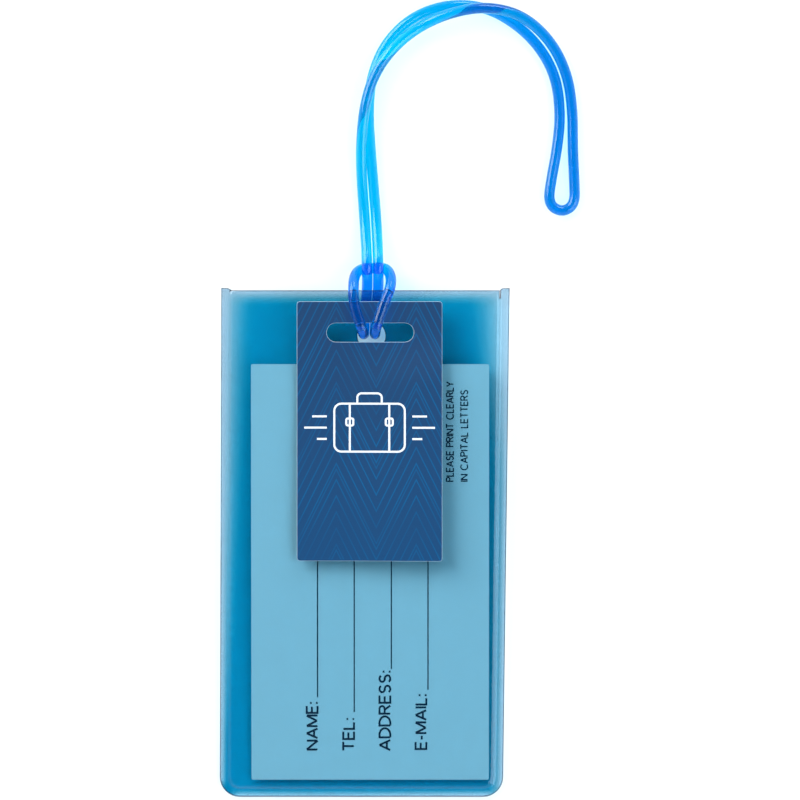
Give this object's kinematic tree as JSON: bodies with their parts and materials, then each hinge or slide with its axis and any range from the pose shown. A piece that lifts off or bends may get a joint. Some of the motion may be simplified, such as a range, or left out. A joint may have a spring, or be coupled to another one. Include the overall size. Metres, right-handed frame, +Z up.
{
  "type": "luggage tag",
  "caption": "Flat translucent blue soft-film luggage tag: welded open-top sleeve, loose address card, printed hang card and a moulded loop strap hitched through its hole.",
  "frame": {"origin": "centre of the sleeve's outline, on the surface that the tag lies on, measured without the strap", "axes": "+Y along the sleeve towards the strap, +X to the right seen from the front, +Z up through the tag's thickness"},
  "size_m": [0.077, 0.1703, 0.0072],
  "materials": {
    "sleeve_film": "translucent blue soft PVC film, smooth and slightly glossy",
    "address_card": "matt white paper card with dark blue printed lines",
    "hang_card": "satin printed card, navy with fine lighter blue lines, white core at its edges",
    "strap": "translucent bright blue moulded soft plastic, glossy"
  },
  "bodies": {
    "sleeve": {"back_sheet": "sleeve_film", "front_sheet": "sleeve_film", "strap_loop": "strap"},
    "address_card": {"id_insert": "address_card"},
    "hang_card": {"hang_card": "hang_card"}
  },
  "joints": [
    {"name": "address_card_slide", "type": "slide", "parent": "sleeve", "child": "address_card", "axis": [0, 0.9997, 0.0243], "range_m": [-0.0012, 0.0048]},
    {"name": "hang_card_swing", "type": "hinge", "parent": "sleeve", "child": "hang_card", "pos_m": [0.00115, 0.0463, 0.0024], "axis": [0, -0.0243, 0.9997], "range_deg": [-17, 17]}
  ]
}
